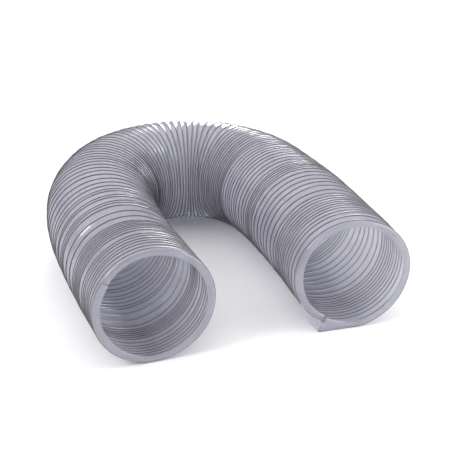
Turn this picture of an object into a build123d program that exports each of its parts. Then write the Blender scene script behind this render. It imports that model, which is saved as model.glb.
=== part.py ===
from build123d import *
import math
import os

# Flexible air duct: a strip of clear film wound on a spring-steel wire, lying on a floor in a U.
# Millimetres and degrees. The U opens towards -Y, and the left mouth faces exactly -Y.

# ---- driving dimensions ----
bore_radius = 50.0       # nominal 100 mm ducting, pushed over a 100 mm spigot
fold_depth = 2.0         # radial depth of the film, from the bore to the outer skin
wire_diameter = 1.2      # spring steel wire, sealed inside the film
wire_cover = 0.3         # film over the outside of the wire
lip_width = 8.0          # plain film beyond the last turn of wire at each mouth
turns_per_section = 8    # turns of wire to each section's length
section_length = 54.0    # along the centreline
joint_gap = 0.9          # between one section and the next

# How far each section turns to the right, from the left mouth round to the right mouth.
section_turns = (0, 2, 3, 9, 21, 36, 36, 42, 27, 4, 4, 1, 0)

# ---- worked out from them ----
skin_radius = bore_radius + fold_depth
wire_radius = wire_diameter / 2
wire_centre_radius = skin_radius - wire_cover - wire_radius
pitch = section_length / turns_per_section
end_margin = joint_gap / 2 + 2 * wire_diameter   # the wire stays this far inside its own section
outline_steps = 36                           # points checked along each section for the overall box


def bend_radius(turn):
    """Centreline radius of a section that turns by this much."""
    return section_length / math.radians(turn)


def point_in_section(start, heading, turn, distance):
    """The point and heading this far along a section that starts at the given point and heading."""
    if turn == 0:
        return start + Vector(1, 0, 0).rotate(Axis.Z, heading) * distance, heading
    radius = bend_radius(turn)
    turned = turn * distance / section_length
    to_centre = Vector(0, -radius, 0).rotate(Axis.Z, heading)
    return start + to_centre - to_centre.rotate(Axis.Z, -turned), heading - turned


def section_starts(first_start):
    """Start point and heading of every section, and of the end of the last one."""
    starts = [(first_start, 90.0)]
    for turn in section_turns:
        start, heading = starts[-1]
        starts.append(point_in_section(start, heading, turn, section_length))
    return starts


def outline_points(starts):
    """Points down both sides of the duct, as seen from above."""
    points = []
    for (start, heading), turn in zip(starts, section_turns):
        for step in range(outline_steps + 1):
            distance = section_length * step / outline_steps
            centre, direction = point_in_section(start, heading, turn, distance)
            to_side = Vector(0, skin_radius, 0).rotate(Axis.Z, direction)
            points += [centre + to_side, centre - to_side]
    return points


def left_mouth_centre():
    """Where the left mouth stands when the whole duct is centred on the origin and rests on Z = 0."""
    outline = outline_points(section_starts(Vector(0, 0, 0)))
    middle_x = (min(p.X for p in outline) + max(p.X for p in outline)) / 2
    middle_y = (min(p.Y for p in outline) + max(p.Y for p in outline)) / 2
    return Vector(-middle_x, -middle_y, skin_radius)


def film_section(start, heading, turn):
    """The tube of folded film of one section, short of its neighbours by half a gap at each end."""
    first, direction = point_in_section(start, heading, turn, joint_gap / 2)
    length = section_length - joint_gap
    tangent = Vector(1, 0, 0).rotate(Axis.Z, direction)
    with BuildPart() as film:
        with BuildLine() as centreline:
            if turn == 0:
                Line(first, first + tangent * length)
            else:
                JernArc(first, tangent, bend_radius(turn), -turn * length / section_length)
        with BuildSketch(Plane(origin=first, z_dir=tangent)):
            Circle(skin_radius)
            Circle(bore_radius, mode=Mode.SUBTRACT)
        sweep(path=centreline.line)
    return film.part


def wire_turns(start, heading, turn, from_distance, to_distance):
    """One length of the wire: a helix of half turns, each an arc between the top and the bottom."""
    half_turns = 2 * round((to_distance - from_distance) / pitch)
    step = (to_distance - from_distance) / half_turns

    def on_wire(distance, angle):
        centre, direction = point_in_section(start, heading, turn, distance)
        reach = Vector(0, math.sin(math.radians(angle)), math.cos(math.radians(angle)))
        return centre + (reach * wire_centre_radius).rotate(Axis.Z, direction)

    with BuildPart() as wire:
        with BuildLine() as helix:
            for index in range(half_turns):
                distance = from_distance + index * step
                angle = 180 * index
                ThreePointArc(
                    on_wire(distance, angle),
                    on_wire(distance + step / 2, angle + 90),
                    on_wire(distance + step, angle + 180),
                )
        with BuildSketch(Plane(origin=helix.line @ 0, z_dir=helix.line % 0)):
            Circle(wire_radius)
        sweep(path=helix.line)
    return wire.part


def write_piece(piece, name):
    piece.label = name
    export_step(piece, f"parts/{name}.step")


os.makedirs("parts", exist_ok=True)
starts = section_starts(left_mouth_centre())
last = len(section_turns) - 1
for index, turn in enumerate(section_turns):
    start, heading = starts[index]
    wire_from = lip_width if index == 0 else end_margin
    wire_to = section_length - (lip_width if index == last else end_margin)
    write_piece(film_section(start, heading, turn), f"film_section_{index + 1:02d}")
    write_piece(wire_turns(start, heading, turn, wire_from, wire_to), f"wire_turns_{index + 1:02d}")
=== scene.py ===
"""Flexible air duct: a strip of clear film wound on a spring-steel wire, lying on a floor in a U."""

import math

import bmesh
import bpy
import numpy as np
from mathutils import Matrix, Vector


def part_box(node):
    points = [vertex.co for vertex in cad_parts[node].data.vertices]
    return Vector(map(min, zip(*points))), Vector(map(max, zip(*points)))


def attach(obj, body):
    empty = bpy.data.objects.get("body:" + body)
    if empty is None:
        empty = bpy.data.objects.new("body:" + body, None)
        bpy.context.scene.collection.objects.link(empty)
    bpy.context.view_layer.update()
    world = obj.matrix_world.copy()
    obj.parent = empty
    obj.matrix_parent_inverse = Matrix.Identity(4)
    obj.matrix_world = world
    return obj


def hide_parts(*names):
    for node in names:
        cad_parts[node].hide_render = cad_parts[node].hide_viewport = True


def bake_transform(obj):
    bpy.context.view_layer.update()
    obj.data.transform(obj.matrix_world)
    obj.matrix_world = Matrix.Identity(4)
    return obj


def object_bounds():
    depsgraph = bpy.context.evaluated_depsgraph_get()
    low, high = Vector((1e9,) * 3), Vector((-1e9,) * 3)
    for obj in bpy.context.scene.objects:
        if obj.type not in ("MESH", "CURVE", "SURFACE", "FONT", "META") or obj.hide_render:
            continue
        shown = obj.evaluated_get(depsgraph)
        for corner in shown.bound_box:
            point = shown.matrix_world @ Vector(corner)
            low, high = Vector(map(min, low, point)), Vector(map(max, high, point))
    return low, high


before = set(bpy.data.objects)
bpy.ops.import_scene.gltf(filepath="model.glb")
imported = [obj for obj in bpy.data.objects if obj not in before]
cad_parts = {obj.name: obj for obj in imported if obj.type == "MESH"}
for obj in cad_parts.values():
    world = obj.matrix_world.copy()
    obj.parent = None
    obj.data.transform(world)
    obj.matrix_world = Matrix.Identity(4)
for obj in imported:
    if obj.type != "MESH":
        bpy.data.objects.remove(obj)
cad_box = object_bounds()

MM = 0.001

# ---- the duct, as the CAD has it ----
SECTION_LENGTH = 54.0 * MM
SECTION_TURNS = (0, 2, 3, 9, 21, 36, 36, 42, 27, 4, 4, 1, 0)   # degrees to the right
SECTION_GAP = 0.9 * MM
SECTIONS = len(SECTION_TURNS)
DUCT_LENGTH = SECTIONS * SECTION_LENGTH

# ---- the wire ----
WIRE_RADIUS = 0.45 * MM
WIRE_SIDES = 8                     # sides of the wire's round section
WIRE_LINE_RADIUS = 51.5 * MM       # from the middle of the duct to the middle of the wire
WIDER_AT_SIDES = 0.8 * MM          # the duct is this much wider than it is high, each way
UNEVEN_PITCH = 0.18                # each turn is up to this share wider or narrower than its zone
START_ANGLE = math.radians(57)     # where the strip starts, from the top towards the left
WIRE_STARTS = 1.8 * MM             # from the left mouth
# Zones of even spacing, from the left mouth: (turns, length in mm).
WIRE_ZONES = (
    (7, 31.5), (1, 7.5), (6, 21.5), (2, 22.5), (1, 12), (2, 8.5), (1, 10), (1, 4.5), (1, 11),
    (1, 5), (4, 42.5), (5, 43.5), (28, 209), (4, 19), (14, 76), (2, 17), (1, 7), (5, 20),
    (6, 60), (1, 9), (9, 43), (2.4222, 18.8),
)

# ---- the film ----
WIDEST_GAP = 11.0 * MM             # between one wire and the next
FOLD_DEPTH = 1.9 * MM              # how far the film folds in between wires that are that far apart
BUNCHING = 4.0 * MM                # how much further it would fold in if a bend closed the gap
FOLD_LEAN = 0.16                   # how far the folds lean to either side, as a share of the gap
LIP_CURL_RADIUS = 45.4 * MM        # the inner edge of the curled lips
LIP_BEHIND_MOUTH = 1.3 * MM        # how far that edge lies behind the front of the lip
LIP_POINTS = 13                    # points across a lip

# ---- the loose end at the right mouth ----
TAIL_ANGLE = 30.0                  # degrees of wire that spring out
TAIL_REACH = 8.5 * MM
FLAP_ANGLE = math.radians(44)      # how far round the mouth the loose corner of film reaches
FLAP_DEPTH = 1.0 * MM              # how far back its inner edge lies

# ---- mesh density ----
COLUMNS = 96                       # film columns, and points of wire, in one turn
ROWS = 10                          # film rows from one wire to the next
WELD_DISTANCE = 0.001 * MM         # points this close together become one

rng = np.random.default_rng(7)


# ---------------------------------------------------------------- the centreline

def centreline_table(steps=200):
    """Distance, x, y and heading at close steps along the middle of the duct."""
    step = SECTION_LENGTH / steps
    turned = np.repeat(np.radians(SECTION_TURNS), steps) / steps
    heading = math.pi / 2 - np.concatenate(([0.0], np.cumsum(turned)))
    halfway = (heading[1:] + heading[:-1]) / 2
    x = np.concatenate(([0.0], np.cumsum(np.cos(halfway)) * step))
    y = np.concatenate(([0.0], np.cumsum(np.sin(halfway)) * step))
    low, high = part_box("film_section_01")
    x += (low.x + high.x) / 2
    y += low.y - SECTION_GAP / 2
    return np.arange(len(x)) * step, x, y, heading


TABLE = centreline_table()
FLOOR = cad_box[0][2]
AXIS_HEIGHT = (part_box("film_section_01")[0].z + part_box("film_section_01")[1].z) / 2


def on_duct(distance, angle, radius):
    """Points at distances along the duct, angles from the top to the left, and radii, all above the floor."""
    inside = np.clip(distance, 0, DUCT_LENGTH)
    beyond = distance - inside
    x = np.interp(inside, TABLE[0], TABLE[1])
    y = np.interp(inside, TABLE[0], TABLE[2])
    heading = np.interp(inside, TABLE[0], TABLE[3])
    side = radius * np.sin(angle)
    return np.stack([
        x + beyond * np.cos(heading) - side * np.sin(heading),
        y + beyond * np.sin(heading) + side * np.cos(heading),
        np.maximum(AXIS_HEIGHT + radius * np.cos(angle), FLOOR + WIRE_RADIUS),
    ], axis=-1)


# ---------------------------------------------------------------- the wire's line

def wire_distance_table():
    """Turns and distances along the duct, in small steps, with the spacing softened where zones meet."""
    turns = np.concatenate(([0.0], np.cumsum([zone[0] for zone in WIRE_ZONES])))
    ends = WIRE_STARTS + np.concatenate(([0.0], np.cumsum([zone[1] for zone in WIRE_ZONES]))) * MM
    count = int(round(turns[-1] * COLUMNS))
    turn = np.arange(count + 1) / COLUMNS
    distance = np.interp(turn, turns, ends)
    pitch = np.diff(distance)
    marks = np.arange(int(turns[-1]) + 2)
    uneven = np.interp(turn[1:], marks, rng.uniform(1 - UNEVEN_PITCH, 1 + UNEVEN_PITCH, len(marks)))
    kernel = np.hanning(COLUMNS // 2 + 2)
    kernel /= kernel.sum()
    padded = np.pad(pitch * uneven, len(kernel) // 2, mode="edge")
    soft = np.convolve(padded, kernel, mode="same")[len(kernel) // 2:][:len(pitch)]
    soft *= (ends[-1] - ends[0]) / soft.sum()
    return turn, np.concatenate(([ends[0]], ends[0] + np.cumsum(soft)))


WIRE_TABLE = wire_distance_table()
LAST_TURN = WIRE_TABLE[0][-1]


def wire_line(turn):
    """Distance, angle and radius of the wire after this many turns."""
    angle = START_ANGLE + 2 * math.pi * turn
    distance = np.interp(turn, *WIRE_TABLE)
    uneven = 0.15 * MM * np.sin(2 * angle + 0.37 * turn) + 0.1 * MM * np.sin(3 * angle + 2.1 * turn)
    wider = WIDER_AT_SIDES * np.sin(angle) ** 2
    return distance, angle, WIRE_LINE_RADIUS + uneven + wider + flare(distance, angle) + tail(turn)


def flare(distance, angle):
    """How far the soft mouths are out of round: they sag at the top and spread towards +X."""
    top = np.maximum(np.cos(angle), 0) ** 1.5
    side = np.abs(np.sin(angle)) ** 1.5
    near_left = np.exp(-distance / (16 * MM))
    near_right = np.exp((distance - DUCT_LENGTH) / (22 * MM))
    left = (2.4 * side * (np.sin(angle) < 0) - 2.6 * top) * near_left
    right = (1.2 * side * (np.sin(angle) > 0) - 4.0 * top) * near_right
    return (left + right) * MM


def tail(turn):
    """How far the end of the wire springs out at the right mouth, over the last part of its last turn."""
    share = np.clip(1 + (turn - LAST_TURN) * 360 / TAIL_ANGLE, 0, 1)
    return TAIL_REACH * share ** 1.3


def turn_at(distance):
    """How many turns of wire lie before this distance along the duct."""
    return float(np.interp(distance, WIRE_TABLE[1], WIRE_TABLE[0]))


def section_breaks():
    """Columns where one piece ends and the next starts: near the middle of each section, at the floor."""
    breaks = []
    for index in range(SECTIONS):
        turn = turn_at((index + 0.5) * SECTION_LENGTH) - 0.5
        whole = round(turn + START_ANGLE / (2 * math.pi) - 0.5)
        turn = whole + 0.5 - START_ANGLE / (2 * math.pi)
        breaks.append(int(round(turn * COLUMNS)))
    return breaks


# ---------------------------------------------------------------- meshes

def grid_faces(columns, rows, first=0):
    """Quads between neighbouring points of a grid stored column by column."""
    column, row = np.meshgrid(np.arange(columns - 1), np.arange(rows - 1), indexing="ij")
    corner = (first + column * rows + row).ravel()
    return np.stack([corner, corner + rows, corner + rows + 1, corner + 1], axis=-1)


def weld_turns(mesh):
    """Joins each turn of the strip to the next along the wire."""
    soup = bmesh.new()
    soup.from_mesh(mesh)
    bmesh.ops.remove_doubles(soup, verts=soup.verts, dist=WELD_DISTANCE)
    soup.to_mesh(mesh)
    soup.free()


def mesh_object(name, grids):
    """One object from grids of points. Each grid is (points, u, v), all of shape (columns, rows, ...)."""
    points = []
    faces = []
    coordinates = []
    first = 0
    for grid, u, v in grids:
        columns, rows = grid.shape[:2]
        points.append(grid.reshape(-1, 3))
        faces.append(grid_faces(columns, rows, first))
        coordinates.append(np.stack([u.ravel(), v.ravel()], axis=-1))
        first += columns * rows
    points = np.concatenate(points)
    faces = np.concatenate(faces)
    coordinates = np.concatenate(coordinates)
    mesh = bpy.data.meshes.new(name)
    mesh.from_pydata(points.tolist(), [], faces.tolist())
    layer = mesh.uv_layers.new(name="strip")
    layer.data.foreach_set("uv", coordinates[faces.ravel()].astype(np.float32).ravel())
    mesh.polygons.foreach_set("use_smooth", [True] * len(faces))
    weld_turns(mesh)
    piece = bpy.data.objects.new(name, mesh)
    bpy.context.scene.collection.objects.link(piece)
    return piece


def smooth_noise(turn, seed):
    """A smooth wandering value from -1 to 1 that goes with the number of turns."""
    rates = (0.61, 1.37, 2.9, 5.3)     # waves in two turns
    phases = np.random.default_rng(seed).uniform(0, 2 * math.pi, len(rates))
    waves = [np.sin(rate * math.pi * turn + phase) for rate, phase in zip(rates, phases)]
    return sum(waves) / len(waves)


def fold_depth(gap, pitch, turn):
    """How deep the film folds in between two wires this far apart: deeper where a bend bunches it up."""
    bunched = np.clip(1 - gap / pitch, 0, 1)
    depth = FOLD_DEPTH * (gap / WIDEST_GAP) ** 2 + BUNCHING * bunched
    return depth * (1 + 0.15 * smooth_noise(turn, 3))


def film_grid(first_column, last_column):
    """The strip of film from one column to another, each column running from a wire to the next one."""
    turn = np.arange(first_column, last_column + 1) / COLUMNS
    across = np.linspace(0, 1, ROWS + 1)
    distance_a, angle, radius_a = wire_line(turn)
    distance_b, _, radius_b = wire_line(turn + 1)
    gap = np.linalg.norm(
        on_duct(distance_b, angle, radius_b) - on_duct(distance_a, angle, radius_a), axis=-1)
    depth = fold_depth(gap, distance_b - distance_a, turn)[:, None]
    lean = FOLD_LEAN * smooth_noise(turn, 5)[:, None]
    fold = np.sin(math.pi * across)[None, :] ** 0.85
    shift = across[None, :] + lean * np.sin(math.pi * across)[None, :] ** 2
    distance = distance_a[:, None] + (distance_b - distance_a)[:, None] * shift
    radius = radius_a[:, None] + (radius_b - radius_a)[:, None] * across[None, :] - depth * fold
    angle = np.repeat(angle[:, None], ROWS + 1, axis=1)
    u = np.repeat(turn[:, None], ROWS + 1, axis=1)
    v = np.repeat(across[None, :], len(turn), axis=0)
    return on_duct(distance, angle, radius), u, v


def bezier(points, at):
    """A cubic curve through control values that are arrays of one value per column."""
    a, b, c, d = (point[:, None] for point in points)
    t = at[None, :]
    return a * (1 - t) ** 3 + 3 * b * t * (1 - t) ** 2 + 3 * c * t ** 2 * (1 - t) + d * t ** 3


def lip_grid(turn, forward):
    """The film beyond the end wire: it stands this far forward of the wire, and curls inwards."""
    distance, angle, radius = wire_line(turn)
    at = np.linspace(0, 1, LIP_POINTS)
    inner_edge = LIP_CURL_RADIUS + 0.25 * MM * np.sin(2 * angle + 1.1) + 0.15 * MM * np.sin(5 * angle)
    spread = flare(distance, angle)
    mouth = distance + forward
    back = LIP_BEHIND_MOUTH * np.sign(forward)
    along = bezier([distance, mouth + 0.3 * back, mouth + 0.3 * back, mouth - back], at)
    out = bezier([radius, radius + 0.3 * MM, 49.6 * MM + spread, inner_edge + spread], at)
    angle = np.repeat(angle[:, None], len(at), axis=1)
    u = np.repeat(turn[:, None], len(at), axis=1)
    v = np.repeat(at[None, :] * 0.5, len(turn), axis=0)
    return on_duct(along, angle, out), u, v


def left_lip():
    """Stands further forward as the wire winds away from the mouth, so that its front is nearly square."""
    turn = np.arange(COLUMNS + 1) / COLUMNS
    return lip_grid(turn, -(1.0 + 3.4 * turn) * MM)


def right_lip():
    """The same at the other end, where the wire winds towards the mouth."""
    turn = LAST_TURN - 1 + np.arange(COLUMNS + 1) / COLUMNS
    return lip_grid(turn, (0.7 + 3.8 * (LAST_TURN - turn)) * MM)


def end_flap():
    """The loose corner of the strip, from the end of the wire back to the right mouth's rim."""
    share = np.linspace(0, 1, 33)
    out = np.linspace(0, 1, 9)
    distance, angle, radius = wire_line(np.array([LAST_TURN, LAST_TURN - 1]))
    width = (radius[0] - radius[1]) * (1 - share) ** 1.3
    angle = angle[0] + share * FLAP_ANGLE
    distance = distance[0] - (1 - out[None, :]) * FLAP_DEPTH + np.zeros((len(share), 1))
    radius = wire_line(np.full(len(share), LAST_TURN - 1))[2][:, None] + np.outer(width, out)
    points = on_duct(distance, np.repeat(angle[:, None], len(out), axis=1), radius)
    u = np.repeat(share[:, None], len(out), axis=1)
    v = np.repeat(out[None, :] * 0.5, len(share), axis=0)
    return points, u, v


# ---------------------------------------------------------------- materials

def new_material(name):
    material = bpy.data.materials.new(name)
    material.use_nodes = True
    nodes = material.node_tree.nodes
    nodes.clear()
    return material, nodes, material.node_tree.links


def noise_node(nodes, links, vector, scale, detail):
    noise = nodes.new("ShaderNodeTexNoise")
    noise.inputs["Scale"].default_value = scale
    noise.inputs["Detail"].default_value = detail
    noise.inputs["Roughness"].default_value = 0.55
    links.new(vector, noise.inputs["Vector"])
    return noise.outputs["Fac"]


def ramp_node(nodes, links, value, stops):
    ramp = nodes.new("ShaderNodeValToRGB")
    elements = ramp.color_ramp.elements
    while len(elements) < len(stops):
        elements.new(0.5)
    for element, (position, colour) in zip(elements, stops):
        element.position = position
        element.color = (*colour, 1)
    links.new(value, ramp.inputs["Fac"])
    return ramp.outputs["Color"]


def range_node(nodes, links, value, low, high):
    """Turns a value from 0 to 1 into one from low to high."""
    mapped = nodes.new("ShaderNodeMapRange")
    mapped.inputs["To Min"].default_value = low
    mapped.inputs["To Max"].default_value = high
    links.new(value, mapped.inputs["Value"])
    return mapped.outputs["Result"]


def film_material():
    """Clear lavender-grey film: partly see-through, glossy, cloudy and faintly streaked along the strip."""
    material, nodes, links = new_material("clear_film")
    strip = nodes.new("ShaderNodeUVMap")
    strip.uv_map = "strip"
    place = nodes.new("ShaderNodeTexCoord")
    stretch = nodes.new("ShaderNodeMapping")
    stretch.inputs["Scale"].default_value = (2, 5, 1)
    links.new(strip.outputs["UV"], stretch.inputs["Vector"])
    streaks = noise_node(nodes, links, stretch.outputs["Vector"], 3.0, 4.0)
    clouds = noise_node(nodes, links, place.outputs["Object"], 45.0, 4.0)
    grain = noise_node(nodes, links, place.outputs["Object"], 900.0, 2.0)

    mix = nodes.new("ShaderNodeMath")
    mix.operation = "ADD"
    links.new(range_node(nodes, links, streaks, 0.0, 0.5), mix.inputs[0])
    links.new(range_node(nodes, links, clouds, 0.0, 0.5), mix.inputs[1])
    colour = ramp_node(nodes, links, mix.outputs["Value"], (
        (0.30, (0.39, 0.385, 0.455)), (0.50, (0.46, 0.455, 0.530)), (0.72, (0.56, 0.555, 0.630))))
    solid = nodes.new("ShaderNodeBsdfPrincipled")
    links.new(colour, solid.inputs["Base Color"])
    links.new(range_node(nodes, links, clouds, 0.14, 0.28), solid.inputs["Roughness"])
    solid.inputs["IOR"].default_value = 1.6
    solid.inputs["Specular IOR Level"].default_value = 0.8
    solid.inputs["Coat Weight"].default_value = 0.9
    solid.inputs["Coat Roughness"].default_value = 0.2
    solid.inputs["Coat IOR"].default_value = 1.7
    bump = nodes.new("ShaderNodeBump")
    bump.inputs["Strength"].default_value = 0.1
    bump.inputs["Distance"].default_value = 0.1 * MM
    height = nodes.new("ShaderNodeMath")
    height.operation = "ADD"
    links.new(streaks, height.inputs[0])
    links.new(range_node(nodes, links, grain, 0.0, 0.1), height.inputs[1])
    links.new(height.outputs["Value"], bump.inputs["Height"])
    links.new(bump.outputs["Normal"], solid.inputs["Normal"])

    through = nodes.new("ShaderNodeBsdfTranslucent")
    links.new(colour, through.inputs["Color"])
    cloudy = nodes.new("ShaderNodeMixShader")
    cloudy.inputs["Fac"].default_value = 0.36
    links.new(solid.outputs["BSDF"], cloudy.inputs[1])
    links.new(through.outputs["BSDF"], cloudy.inputs[2])
    clear = nodes.new("ShaderNodeBsdfTransparent")
    clear.inputs["Color"].default_value = (0.90, 0.91, 0.96, 1)
    cover = range_node(nodes, links, clouds, 0.66, 0.78)
    film = nodes.new("ShaderNodeMixShader")
    links.new(cover, film.inputs["Fac"])
    links.new(clear.outputs["BSDF"], film.inputs[1])
    links.new(cloudy.outputs["Shader"], film.inputs[2])
    out = nodes.new("ShaderNodeOutputMaterial")
    links.new(film.outputs["Shader"], out.inputs["Surface"])
    return material


def wire_material():
    """Dull dark spring steel, browner in places."""
    material, nodes, links = new_material("spring_steel")
    place = nodes.new("ShaderNodeTexCoord")
    patches = noise_node(nodes, links, place.outputs["Object"], 60.0, 4.0)
    grain = noise_node(nodes, links, place.outputs["Object"], 1500.0, 2.0)
    steel = nodes.new("ShaderNodeBsdfPrincipled")
    links.new(ramp_node(nodes, links, patches, (
        (0.35, (0.10, 0.096, 0.105)), (0.65, (0.17, 0.158, 0.155)))), steel.inputs["Base Color"])
    steel.inputs["Metallic"].default_value = 0.6
    links.new(range_node(nodes, links, patches, 0.32, 0.52), steel.inputs["Roughness"])
    bump = nodes.new("ShaderNodeBump")
    bump.inputs["Strength"].default_value = 0.2
    bump.inputs["Distance"].default_value = 0.1 * MM
    links.new(grain, bump.inputs["Height"])
    links.new(bump.outputs["Normal"], steel.inputs["Normal"])
    out = nodes.new("ShaderNodeOutputMaterial")
    links.new(steel.outputs["BSDF"], out.inputs["Surface"])
    return material


def floor_material():
    """Pale matt floor with a faint mottle."""
    material, nodes, links = new_material("pale_floor")
    place = nodes.new("ShaderNodeTexCoord")
    mottle = noise_node(nodes, links, place.outputs["Object"], 6.0, 3.0)
    matt = nodes.new("ShaderNodeBsdfPrincipled")
    links.new(ramp_node(nodes, links, mottle, (
        (0.3, (0.93, 0.93, 0.93)), (0.7, (0.95, 0.95, 0.95)))), matt.inputs["Base Color"])
    matt.inputs["Roughness"].default_value = 0.8
    matt.inputs["Specular IOR Level"].default_value = 0.1
    out = nodes.new("ShaderNodeOutputMaterial")
    links.new(matt.outputs["BSDF"], out.inputs["Surface"])
    return material


FILM = film_material()
STEEL = wire_material()


# ---------------------------------------------------------------- the wire's round section

def round_wire_nodes():
    """Turns a line of points into round wire, after any bending, so that the wire is never stretched thin."""
    group = bpy.data.node_groups.new("round_wire", "GeometryNodeTree")
    group.interface.new_socket("Geometry", in_out="INPUT", socket_type="NodeSocketGeometry")
    group.interface.new_socket("Geometry", in_out="OUTPUT", socket_type="NodeSocketGeometry")
    nodes, links = group.nodes, group.links
    start = nodes.new("NodeGroupInput")
    end = nodes.new("NodeGroupOutput")
    to_curve = nodes.new("GeometryNodeMeshToCurve")
    circle = nodes.new("GeometryNodeCurvePrimitiveCircle")
    circle.inputs["Resolution"].default_value = WIRE_SIDES
    circle.inputs["Radius"].default_value = WIRE_RADIUS
    to_mesh = nodes.new("GeometryNodeCurveToMesh")
    to_mesh.inputs["Fill Caps"].default_value = True
    smooth = nodes.new("GeometryNodeSetShadeSmooth")
    paint = nodes.new("GeometryNodeSetMaterial")
    paint.inputs["Material"].default_value = STEEL
    links.new(start.outputs["Geometry"], to_curve.inputs["Mesh"])
    links.new(to_curve.outputs["Curve"], to_mesh.inputs["Curve"])
    links.new(circle.outputs["Curve"], to_mesh.inputs["Profile Curve"])
    links.new(to_mesh.outputs["Mesh"], smooth.inputs["Geometry"])
    links.new(smooth.outputs["Geometry"], paint.inputs["Geometry"])
    links.new(paint.outputs["Geometry"], end.inputs["Geometry"])
    return group


ROUND_WIRE = round_wire_nodes()


def wire_piece(name, first_column, last_column):
    """The wire from one column to another, as a line of points that becomes round wire after posing."""
    turn = np.arange(first_column, last_column + 1) / COLUMNS
    points = on_duct(*wire_line(turn))
    mesh = bpy.data.meshes.new(name)
    mesh.from_pydata(points.tolist(), [(i, i + 1) for i in range(len(turn) - 1)], [])
    mesh.materials.append(STEEL)
    piece = bpy.data.objects.new(name, mesh)
    bpy.context.scene.collection.objects.link(piece)
    modifier = piece.modifiers.new("round", "NODES")
    modifier.node_group = ROUND_WIRE
    return piece


def film_piece(name, first_column, last_column, extra=()):
    """The film from one column to another, with any extra grids such as a lip."""
    piece = mesh_object(name, [film_grid(first_column, last_column), *extra])
    piece.data.materials.append(FILM)
    return piece


# ---------------------------------------------------------------- pieces and what they ride on

def plan_tangent(distance):
    """The direction of the duct's middle line at this distance."""
    heading = float(np.interp(distance, TABLE[0], TABLE[3]))
    return np.array([math.cos(heading), math.sin(heading), 0.0])


def blend_points(index, first_column, last_column):
    """The ends of the part of this piece clear of the edges shared with its neighbours, on the duct's middle
    line.
    """
    joint = on_duct(np.array(index * SECTION_LENGTH), np.array(0.0), np.array(0.0))
    along = plan_tangent(index * SECTION_LENGTH)

    def reach(column):
        turn = column / COLUMNS + np.linspace(0, 1, COLUMNS + 1)
        return (on_duct(*wire_line(turn)) - joint) @ along

    start = reach(first_column).max() + 0.1 * MM
    end = reach(last_column).min() - 0.1 * MM
    return joint + along * start, joint + along * end


def lay_out_pieces():
    """Film and wire from one section's middle to the next one's, left where they are, and the two ends, which
    ride on the end sections and don't bend.
    """
    breaks = section_breaks()
    last_film = int(round((LAST_TURN - 1) * COLUMNS))
    last_wire = int(round(LAST_TURN * COLUMNS))
    for index in range(SECTIONS + 1):
        first = 0 if index == 0 else breaks[index - 1]
        final = index == SECTIONS
        to = breaks[index] if not final else last_film
        extra = []
        if index == 0:
            extra = [left_lip()]
        if final:
            extra = [right_lip(), end_flap()]
        film = film_piece(f"film_{index:02d}", first, to, extra)
        wire = wire_piece(f"wire_{index:02d}", first, last_wire if final else to)
        number = min(max(index, 1), SECTIONS)
        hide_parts(f"film_section_{number:02d}")
        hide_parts(f"wire_turns_{number:02d}")
        for piece in (film, wire):
            if index == 0 or final:
                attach(piece, f"section_{number:02d}")
            else:
                start, end = blend_points(index, first, to)
                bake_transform(piece)


lay_out_pieces()


# ---------------------------------------------------------------- floor, light and camera

def add_floor():
    """A square of floor, 12 metres each way."""
    size = 6.0
    mesh = bpy.data.meshes.new("floor")
    corners = [(-size, -size, 0), (size, -size, 0), (size, size, 0), (-size, size, 0)]
    mesh.from_pydata(corners, [], [(0, 1, 2, 3)])
    mesh.materials.append(floor_material())
    floor = bpy.data.objects.new("floor", mesh)
    floor.location.z = cad_box[0][2]
    bpy.context.scene.collection.objects.link(floor)


def add_softbox(name, place, aim, width, height, power):
    """A rectangular light that shows in reflections but not to the camera."""
    light = bpy.data.lights.new(name, "AREA")
    light.shape = "RECTANGLE"
    light.size = width
    light.size_y = height
    light.energy = power
    lamp = bpy.data.objects.new(name, light)
    lamp.location = place
    lamp.visible_camera = False
    lamp.rotation_euler = (Vector(aim) - Vector(place)).to_track_quat("-Z", "Y").to_euler()
    bpy.context.scene.collection.objects.link(lamp)


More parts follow.
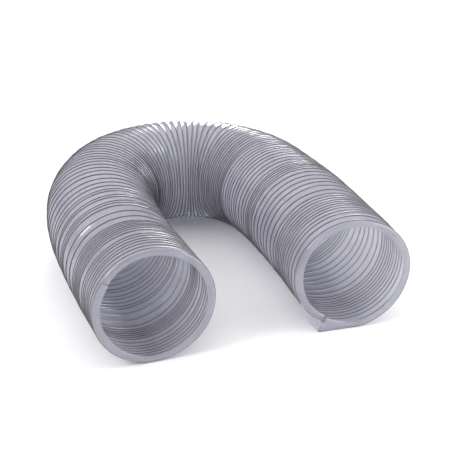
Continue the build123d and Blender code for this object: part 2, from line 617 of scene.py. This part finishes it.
def add_world():
    """A studio that is bright along the floor and dimmer overhead."""
    world = bpy.data.worlds.new("studio")
    world.use_nodes = True
    nodes, links = world.node_tree.nodes, world.node_tree.links
    place = nodes.new("ShaderNodeTexCoord")
    split = nodes.new("ShaderNodeSeparateXYZ")
    links.new(place.outputs["Generated"], split.inputs["Vector"])
    bright = ramp_node(nodes, links, split.outputs["Z"], (
        (0.0, (1, 1, 1)), (0.06, (1, 1, 1)), (0.14, (0.22, 0.22, 0.23)), (1.0, (0.22, 0.22, 0.23))))
    links.new(bright, nodes["Background"].inputs["Color"])
    bpy.context.scene.world = world


def add_overhead_light():
    """Soft light from all over the ceiling, the same everywhere on the floor."""
    light = bpy.data.lights.new("overhead", "SUN")
    light.energy = 2.1
    light.angle = math.radians(100)
    lamp = bpy.data.objects.new("overhead", light)
    lamp.rotation_euler = (math.radians(-8), math.radians(-10), 0)
    bpy.context.scene.collection.objects.link(lamp)


def add_light():
    middle = (0.0, 0.0, 0.05)
    add_overhead_light()
    add_softbox("left", (-1.1, -0.3, 0.9), middle, 0.5, 0.5, 8)
    add_softbox("back", (0.95, 1.7, 0.52), middle, 0.8, 0.9, 21)
    add_softbox("window", (1.2, -0.5, 0.6), middle, 0.8, 0.6, 9)
    add_softbox("front", (0.65, -1.05, 0.18), (-0.1, -0.15, 0.05), 0.45, 0.4, 2)


def add_camera():
    """The photo's view: from the front, a little to the left and above."""
    target = Vector((18.52, -34.21, 52.0)) * MM
    distance = 1051.8 * MM
    elevation = math.radians(23.087)
    azimuth = math.radians(-21.08)
    roll = math.radians(0.43)
    look = Vector((-math.sin(azimuth) * math.cos(elevation),
                   math.cos(azimuth) * math.cos(elevation), -math.sin(elevation)))
    camera = bpy.data.cameras.new("camera")
    camera.lens = 88.49
    camera.sensor_width = 36
    camera.clip_start = 0.01
    holder = bpy.data.objects.new("camera", camera)
    bpy.context.scene.collection.objects.link(holder)
    turn = look.to_track_quat("-Z", "Y").to_matrix().to_4x4()
    holder.matrix_world = Matrix.Translation(target - look * distance) @ turn @ Matrix.Rotation(roll, 4, "Z")
    bpy.context.scene.camera = holder


add_floor()
add_world()
add_light()
add_camera()
scene = bpy.context.scene
scene.view_settings.view_transform = "Standard"
scene.cycles.transparent_max_bounces = 40
scene.cycles.max_bounces = 10
